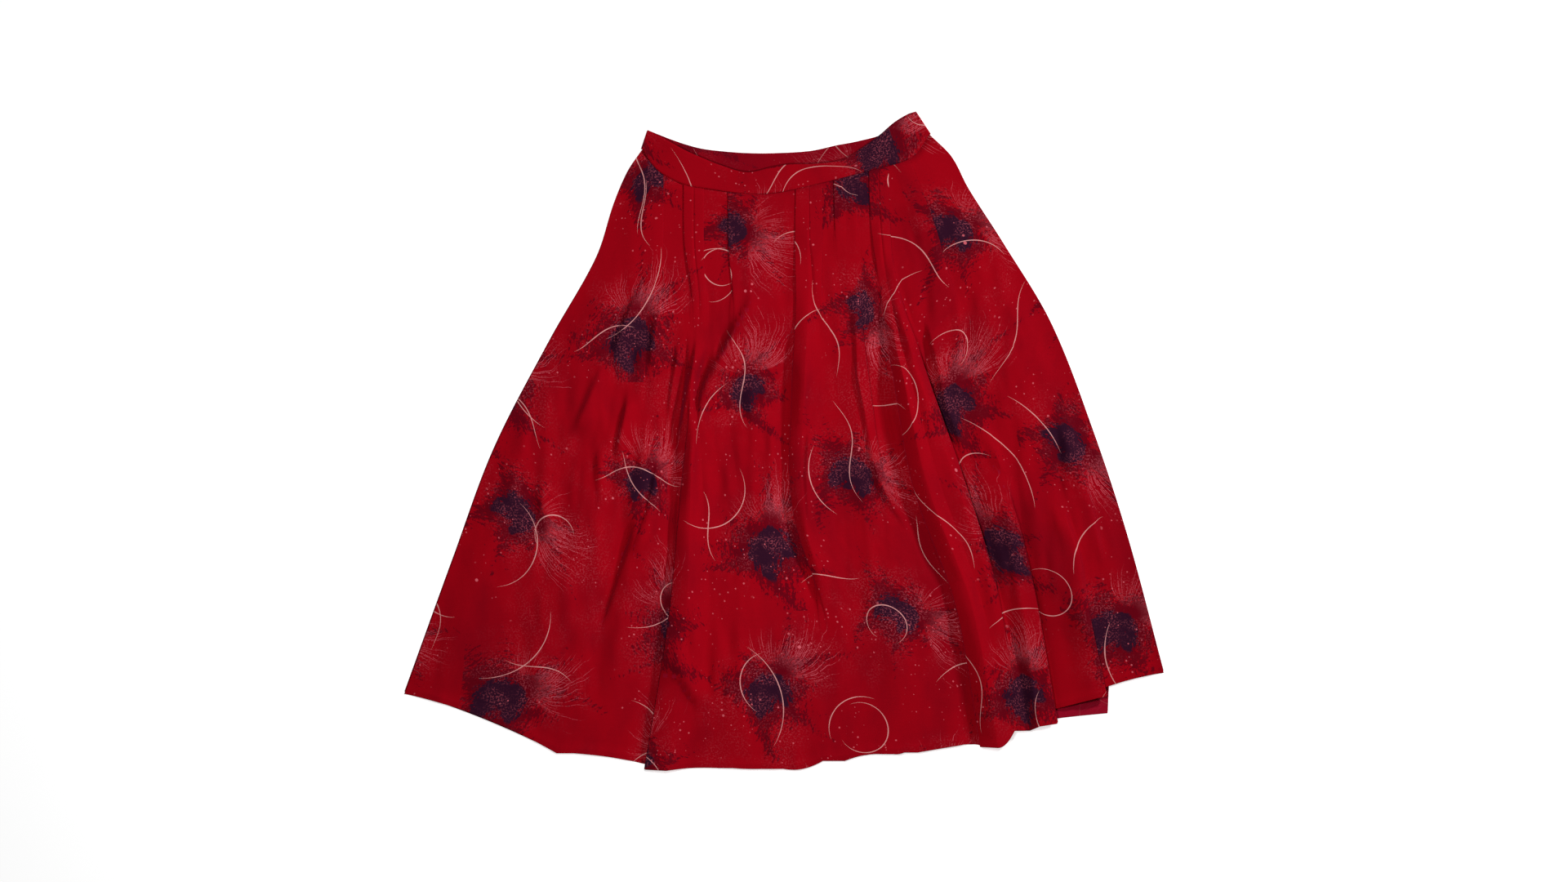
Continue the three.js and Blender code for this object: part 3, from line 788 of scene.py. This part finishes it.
def makeLeaf():
    # A lens along Y from the root: its half width is a sine of the way along. Bristle marks, a noise drawn
    # out along the leaf, eat into its sides and its tip, and a fine one leaves bare specks. The smear is a
    # wider lens, worn much more.
    leastHalf = 0.001
    bristleRate, speckRate = (300, 60), (400, 230)  # marks to a metre, across and along the leaf
    bristleWear, speckWear, smearWear = 3.0, 2.2, 2.2
    tree, get, leave = newGroup(
        "brushedLeaf",
        {"X": 0.0, "Y": 0.0, "Length": 0.06, "Width": 0.02, "Bend": 0.3, "Turn": 0.0, "Seed": 0.0},
        {"Leaf": 0.0, "Smear": 0.0})
    x, y = turned(get["X"], get["Y"], get["Turn"])

    def marks(rate, seed, detail, rough):
        return cloud(tree, vector(tree, x * rate[0], y * rate[1], seed), 1.0, detail, rough) - 0.5

    bristles = marks(bristleRate, get["Seed"], 3.0, 0.65)
    specks = marks(speckRate, get["Seed"] + 5.0, 2.0, 0.7)
    way = y / get["Length"]
    off = abs(x - way * (1.0 - way) * get["Bend"] * get["Length"])
    lens = (way.through("MAXIMUM", 0.0).through("MINIMUM", 1.0) * np.pi).through("SINE")
    half = lens * get["Width"] + leastHalf
    worn = off / half + bristles * bristleWear + specks * speckWear
    ends = way.step(-0.02, 0.06) * way.step(1.02, 0.9)  # nothing before the root or past the tip
    feed(tree, worn.step(1.02, 0.93) * ends, leave.inputs["Leaf"])
    wide = off / (half + get["Width"] * 0.9)
    smear = wide * 0.55 + abs(way - 0.5) * 0.7 + bristles * smearWear + specks * smearWear
    feed(tree, smear.step(0.95, 0.7), leave.inputs["Smear"])
    return tree


def makeSpray():
    # Fine blades that fan out from the root: an angle, sheared by the distance so that they bow, is cut
    # into one slot for each blade, with its own place in the slot and its own length. A brush run dry
    # breaks each blade into dots.
    wanderRate, wander = 22.0, 0.4
    offMiddle = 0.7  # of a slot's width, how far from its middle a blade may lie
    shortest = 0.3  # of the whole length
    dryRate = 420  # dots to a metre
    faintest = 0.6
    tree, get, leave = newGroup(
        "grassSpray",
        {"X": 0.0, "Y": 0.0, "Blades": 20.0, "Spread": 1.0, "Length": 0.09, "Bow": 4.0, "Width": 0.0005,
         "Turn": 0.0, "Seed": 0.0},
        {"Blade": 0.0})
    x, y = turned(get["X"], get["Y"], get["Turn"])
    reach = distance(x, y)
    uneven = (cloud(tree, vector(tree, x, y, get["Seed"]), wanderRate) - 0.5) * wander
    angle = x.through("ARCTAN2", y)
    slot = (angle + get["Bow"] * reach + uneven) * get["Blades"] / get["Spread"]
    number = slot.through("FLOOR")
    first, second, _ = chances(tree, vector(tree, number, get["Seed"], 3.0))
    aside = slot.through("FRACT") - 0.5 - (first - 0.5) * offMiddle
    off = abs(aside) * reach * get["Spread"] / get["Blades"]
    length = get["Length"] * (shortest + second * (1 - shortest))
    thin = get["Width"] * (1.15 - reach / length)
    fan = abs(angle).step(get["Spread"] * 0.5, get["Spread"] * 0.4)
    dry = cloud(tree, vector(tree, number * 7.3, reach * dryRate, get["Seed"])).step(0.36, 0.5)
    ends = reach.step(length, length * 0.8) * reach.step(0.008, 0.045)  # gone at the tip and at the root
    blade = off.step(thin * 1.7, thin * 0.6) * ends
    feed(tree, blade * fan * dry * (faintest + first * (1 - faintest)), leave.inputs["Blade"])
    return tree


def makeCurl():
    # A stroke on an arc that opens as it goes round, or on a lazy wave, thin at both ends. How far a place
    # is from the wave: its way aside from it, over the root of one and the slope squared.
    tightest, opener = 0.024, 0.09  # the least radius, and what a random number adds at most
    longestTurn = 2.7
    waveRate, waveHeight = 46, 0.011
    onArcs = 0.62  # the share of the strokes that are arcs
    tree, get, leave = newGroup(
        "looseCurl",
        {"X": 0.0, "Y": 0.0, "First": 0.0, "Second": 0.0, "Length": 0.13, "Width": 0.00065},
        {"Stroke": 0.0})
    radius = tightest + get["First"] * get["First"] * opener
    away = get["X"] + radius
    reach = distance(away, get["Y"])
    angle = get["Y"].through("ARCTAN2", away)
    span = get["Length"] * 0.5 / radius
    opening = (get["Second"] - 0.3) * 0.24
    arcOff = abs(reach - radius * (1.0 + angle * opening))
    arcWay = angle / span.through("MINIMUM", longestTurn)
    phase = get["Y"] * waveRate + get["First"] * 3
    steep = phase.through("COSINE") * (waveRate * waveHeight)
    waveOff = abs(get["X"] - phase.through("SINE") * waveHeight) / (steep * steep + 1.0).through("SQRT")
    waveWay = get["Y"] / (get["Length"] * 0.45)
    waved = get["Second"].through("GREATER_THAN", onArcs)
    off = arcOff + (waveOff - arcOff) * waved
    way = arcWay + (waveWay - arcWay) * waved
    brush = cloud(tree, vector(tree, get["X"], get["Y"], get["Second"]), 60.0, 1.0)
    thin = get["Width"] * (1.02 - way * way) * (0.5 + brush)
    feed(tree, off.step(thin * 1.25, thin * 0.7) * abs(way).step(1.0, 0.93), leave.inputs["Stroke"])
    return tree


def makeDots():
    # Round dots of many sizes, one to a random cell, kept only where a slow noise is high
    smallest = 0.25  # of the largest dot's radius
    leftOut = 0.25  # the share of the cells that have no dot anywhere
    tree, get, leave = newGroup(
        "paintDots",
        {"Place": (0, 0, 0), "Cell": 0.012, "Largest": 0.002, "Seed": 0.0, "Cluster": 9.0, "Bare": 0.6},
        {"Dot": 0.0})
    u, v, _ = parts(tree, get["Place"])
    cells = tree.nodes.new("ShaderNodeTexVoronoi")
    cells.voronoi_dimensions = "3D"
    inCells = vector(tree, u / get["Cell"], v / get["Cell"], get["Seed"])
    feedAll(tree, cells, {"Vector": inCells, "Scale": 1.0, "Randomness": 0.9})
    size, kept, _ = parts(tree, Wire(tree, cells.outputs["Color"]))
    radius = get["Largest"] / get["Cell"] * (smallest + (1 - smallest) * size * size)
    dot = Wire(tree, cells.outputs["Distance"]).step(radius * 1.1, radius * 0.75)
    where = cloud(tree, vector(tree, u, v, get["Seed"] * 3.1), get["Cluster"])
    where = where.step(get["Bare"], get["Bare"] + 0.06)
    feed(tree, dot * where * kept.through("GREATER_THAN", leftOut), leave.inputs["Dot"])
    return tree


scatterMotifs, brushedLeaf, grassSpray, looseCurl, paintDots = (
    makeScatter(), makeLeaf(), makeSpray(), makeCurl(), makeDots())

clothPrint = {
    "Ground": dye(162, 0, 18),
    "Plum": dye(40, 14, 36),
    "Smear": dye(88, 1, 18),
    "Pale": dye(232, 158, 156),
    "Spray": dye(222, 100, 116),
    "Dots": dye(224, 104, 116),
}
motifs = {
    "sprigs": {"Wide": 0.188, "High": 0.19552, "Seed": 4.0, "Shift": 0.035, "Turn": 2.3, "Range": 2.6},
    "leaves": [  # three to a sprig: length, width, bend, turn and seed
        (0.066, 0.017, 0.6, 0.1, 1.3), (0.05, 0.014, -0.5, -0.5, 4.1), (0.044, 0.012, 0.4, 0.75, 8.7),
    ],
    "sprays": [  # two to a sprig
        {"Blades": 34.0, "Spread": 1.6, "Length": 0.105, "Bow": 6.0, "Width": 0.0005, "Turn": 2.6},
        {"Blades": 36.0, "Spread": 2.3, "Length": 0.07, "Bow": -8.0, "Width": 0.00045, "Turn": 3.6},
    ],
    "curls": [  # two sets, each with its own scatter and length
        ({"Wide": 0.168, "High": 0.1848, "Seed": 11.0, "Shift": 0.05, "Turn": 0.4, "Range": 3.0}, 0.15),
        ({"Wide": 0.14616, "High": 0.160776, "Seed": 17.0, "Shift": 0.05, "Turn": 2.2, "Range": 3.0}, 0.1),
    ],
    # How strongly each ink covers what lies under it
    "strength": {
        "clouds": 0.35, "smears": 0.8, "leaves": 0.93, "specks": 0.28, "sprays": 0.72, "fineDots": 0.7,
        "largeDots": 0.85, "curls": 0.85,
    },
    "largeDots": {"Cell": 0.0105, "Largest": 0.0026, "Seed": 2.0, "Cluster": 15.0, "Bare": 0.57},
    "fineDots": {"Cell": 0.0055, "Largest": 0.0014, "Seed": 7.0, "Cluster": 9.0, "Bare": 0.5},
}


def makePrint():
    # Each sprig is three brushed leaves and two sprays of grass, with a veil of specks round it. Among the
    # sprigs lie curls, dots and a haze of fine speckle, and the ground itself has darker clouds drawn out
    # down the cloth. The inks go on one over another, each with its own strength.
    tree, get, leave = newGroup(
        "skirtPrint", {"Place": (0, 0, 0), **clothPrint}, {"Colour": (0, 0, 0, 1), "Ink": 0.0})
    place = get["Place"]
    u, v, _ = parts(tree, place)
    sprig = placeGroup(tree, scatterMotifs, Place=place, **motifs["sprigs"])
    x, y = sprig["X"], sprig["Y"]
    size = 0.7 + 0.5 * sprig["First"]
    leaves = [
        placeGroup(tree, brushedLeaf, X=x, Y=y, Length=size * length, Width=size * width, Bend=bend,
                   Turn=turn, Seed=sprig["Second"] * 40 + seed)
        for length, width, bend, turn, seed in motifs["leaves"]
    ]
    leaf = highest(*(one["Leaf"] for one in leaves))
    smear = highest(*(one["Smear"] for one in leaves))
    sprays = [placeGroup(tree, grassSpray, X=x, Y=y, Seed=sprig["Second"] * 50, **values)
              for values in motifs["sprays"]]
    spray = highest(*(one["Blade"] for one in sprays))
    curls = []
    for scatter, length in motifs["curls"]:
        curl = placeGroup(tree, scatterMotifs, Place=place, **scatter)
        curls.append(placeGroup(tree, looseCurl, Length=length, **curl)["Stroke"])
    stroke = highest(*curls)
    large = placeGroup(tree, paintDots, Place=place, **motifs["largeDots"])["Dot"]
    fine = placeGroup(tree, paintDots, Place=place, **motifs["fineDots"])["Dot"]
    veil = distance(x, y * 0.9 - x * 0.5).step(0.085, 0.01)
    veil = veil * cloud(tree, vector(tree, u, v, 6.6), 38.0, 2.0, 0.6).step(0.4, 0.6)
    haze = cloud(tree, vector(tree, u * 1.3, v, 4.2), 7.5, 3.0, 0.6).step(0.52, 0.72)
    grain = cloud(tree, vector(tree, u, v, 8.8), 430.0, 2.0, 0.7).step(0.52, 0.58)
    clouds = cloud(tree, vector(tree, u * 2.2, v, 1.1), 5.0, 4.0, 0.6).step(0.42, 0.72)
    colour = get["Ground"]
    for name, cover, ink in (
            ("clouds", clouds, "Smear"), ("smears", smear, "Smear"), ("leaves", leaf, "Plum"),
            ("specks", (haze * 0.5 + veil) * grain, "Spray"), ("sprays", spray, "Spray"),
            ("fineDots", fine, "Dots"), ("largeDots", large, "Dots"), ("curls", stroke, "Pale")):
        colour = blend(tree, cover * motifs["strength"][name], colour, get[ink])
    feedAll(tree, leave, {"Colour": colour, "Ink": highest(leaf, stroke, large)})
    return tree


def makeWeave():
    # Two sets of threads crossing: a sine along each way, uneven from thread to thread
    tree, get, leave = newGroup(
        "fineWeave", {"Place": (0, 0, 0), "Threads": 1600.0}, {"Height": 0.0, "Shade": 0.0})
    u, v, _ = parts(tree, get["Place"])
    slub = cloud(tree, vector(tree, u * 30, v * 700))
    uneven = cloud(tree, get["Place"], 260.0, 3.0, 0.7)
    warp, weft = ((way * get["Threads"] * (2 * np.pi)).through("SINE") for way in (u, v))
    height = 0.25 * warp * weft + uneven * 0.8 + slub * 0.5
    # Shade is low where the unevenness and slubs leave the weave low, for painted shade in its hollows
    feedAll(tree, leave, {"Height": height, "Shade": uneven * 0.6 + slub * 0.4})
    return tree


skirtPrint, fineWeave = makePrint(), makeWeave()
print("print charted")

clothFinish = {
    "weaveToneAndPaintedShade": (0.62, 0.5, 0.55, 1),  # what the lowest threads leave of the colour: painted shade in the weave's hollows, with uneven thread tone
    "threadShare": 0.2,
    "roughness": 0.86,
    "inkGloss": 0.08,
    "weaveBump": {"Strength": 0.25, "Distance": 0.0003},
    "paleSide": dye(156, 12, 40),
    # Painted shadow: the dark colour laid over the band's inner face
    "insideWithPaintedShadow": dye(118, 2, 22),
    "shader": {
        "Specular IOR Level": 0.04,
        "Sheen Weight": 0.08,
        "Sheen Tint": (0.8, 0.08, 0.34, 1),
        "Sheen Roughness": 0.5,
    },
    # For each piece its outer side and its wrong side: where its print starts, and on a wrong side what
    # shows of the print and the ground over it
    "sides": {
        "front_cloth": [("frontCloth", (0.31, 0.12)), ("frontWrongSide", (0.31, 0.12), 0.3, "paleSide")],
        "back_cloth": [("backCloth", (1.47, 0.83)), ("backWrongSide", (1.47, 0.83), 0.12, "paleSide")],
        # The band's inner face takes the painted shadow colour over half of its print
        "waistband_cloth": [("bandCloth", (2.21, 1.37)), ("bandInside", (2.63, 1.91), 0.5, "insideWithPaintedShadow")],
    },
}


def clothMaterial(name, shift, printShare=1.0, wrongSide=None):
    # The printed cloth: its colours from the print, uneven thread tone with painted shade where the weave
    # lies low, a soft matt sheen
    finish = clothFinish
    material = bpy.data.materials.new(name)
    material.use_nodes = True
    tree = material.node_tree
    pattern = tree.nodes.new("ShaderNodeUVMap")
    pattern.uv_map = "cloth"
    mapping = tree.nodes.new("ShaderNodeMapping")
    mapping.inputs["Location"].default_value = (*shift, 0)
    feed(tree, pattern.outputs[0], mapping.inputs["Vector"])
    place = Wire(tree, mapping.outputs[0])
    printed = placeGroup(tree, skirtPrint, Place=place)
    weave = placeGroup(tree, fineWeave, Place=place)
    colour = printed["Colour"]
    # On a wrong side a ground colour goes over the print; on the band's inner face that colour is a
    # painted shadow
    if wrongSide:
        colour = blend(tree, printShare, finish[wrongSide], colour)
    # Painted shade: the colour darkens where the weave's unevenness and slubs lie low, with uneven thread
    # tone
    shade = weave["Shade"].step(0.75, 0.25) * finish["threadShare"]
    colour = blend(tree, shade, colour, finish["weaveToneAndPaintedShade"], "MULTIPLY")
    bump = tree.nodes.new("ShaderNodeBump")
    feedAll(tree, bump, {"Height": weave["Height"], **finish["weaveBump"]})
    rough = finish["roughness"] - printed["Ink"] * finish["inkGloss"]
    own = {"Base Color": colour, "Roughness": rough, "Normal": bump.outputs[0]}
    feedAll(tree, tree.nodes["Principled BSDF"], {**own, **finish["shader"]})
    return material


for piece in (front, back, band):
    for side in clothFinish["sides"][piece.name]:
        piece.data.materials.append(clothMaterial(*side))
print("materials made")

studio = {
    "floorSize": 40.0,
    "floor": {
        "Base Color": (0.9, 0.9, 0.9, 1),
        "Roughness": 0.9,
        "Emission Color": (1, 1, 1, 1),
        "Emission Strength": 0.65,
    },
    "world": {"Color": (1, 1, 1, 1), "Strength": 0.08},
    "lights": [
        {"name": "key", "at": (2.1, 1.9, 1.7), "size": 0.38, "power": 67},
        {"name": "over", "at": (-0.06, -0.1, 1.05), "size": 0.26, "power": 6},
    ],
}


def makeFloor():
    half = studio["floorSize"] / 2
    mesh = bpy.data.meshes.new("floor")
    corners = [(-half, -half, 0), (half, -half, 0), (half, half, 0), (-half, half, 0)]
    mesh.from_pydata(corners, [], [(0, 1, 2, 3)])
    floor = addObject("floor", mesh)
    material = bpy.data.materials.new("paleFloor")
    material.use_nodes = True
    tree = material.node_tree
    feedAll(tree, tree.nodes["Principled BSDF"], studio["floor"])
    mesh.materials.append(material)


def makeLights():
    # An even white all round, and soft square lamps that face the middle of the floor
    world = bpy.data.worlds.new("studio")
    world.use_nodes = True
    feedAll(world.node_tree, world.node_tree.nodes["Background"], studio["world"])
    bpy.context.scene.world = world
    for light in studio["lights"]:
        data = bpy.data.lights.new(light["name"], "AREA")
        data.size = light["size"]
        data.energy = light["power"]
        lamp = addObject(light["name"], data)
        lamp.location = light["at"]
        lamp.rotation_mode = "QUATERNION"
        lamp.rotation_quaternion = lamp.location.to_track_quat("Z", "Y")


makeFloor()
makeLights()
bpy.context.scene.view_settings.view_transform = "Standard"
print("floor and lights made")

for piece, node in ((front, "front_panel"), (back, "back_panel"), (band, "waistband")):
    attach(piece, "root")
    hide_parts(node)
